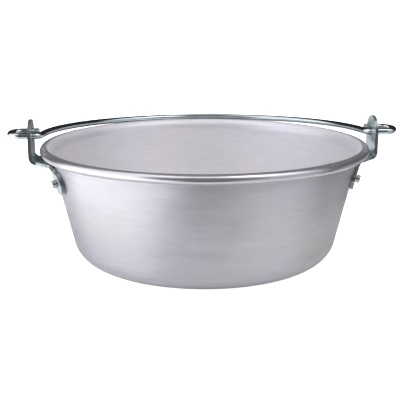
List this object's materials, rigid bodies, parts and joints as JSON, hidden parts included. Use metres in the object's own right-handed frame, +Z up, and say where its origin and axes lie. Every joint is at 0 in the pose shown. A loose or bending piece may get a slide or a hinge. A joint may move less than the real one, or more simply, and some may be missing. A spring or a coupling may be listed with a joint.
{
  "type": "kettle with swinging bail",
  "caption": "Wide tapered metal kettle with a rolled rim, riveted side ears and a swinging round-rod bail handle, for heating wort or must.",
  "frame": {"origin": "centre of the flat base, on the surface the kettle stands on", "axes": "+Z up along the pan's axis; X runs through the two ears, parallel to the bail's hinge line; the bail lies back over the +Y side of the rim at rest"},
  "size_m": [0.486, 0.405, 0.173],
  "materials": {
    "brushed_aluminium": "satin, turned in fine rings around the axis",
    "zinc_plated_steel": "bright zinc plating, smooth and cool grey",
    "rivet_metal": "pressed, lightly worn"
  },
  "bodies": {
    "kettle": {"pan_body": "brushed_aluminium", "left_ear": "zinc_plated_steel", "right_ear": "zinc_plated_steel", "left_front_rivet": "rivet_metal", "left_rear_rivet": "rivet_metal", "right_front_rivet": "rivet_metal", "right_rear_rivet": "rivet_metal"},
    "bail": {"bail_handle": "zinc_plated_steel"}
  },
  "joints": [
    {"name": "bail_swing", "type": "hinge", "parent": "kettle", "child": "bail", "pos_m": [0, 0, 0.1526], "axis": [1, 0, 0], "range_deg": [0, 184.4]}
  ]
}
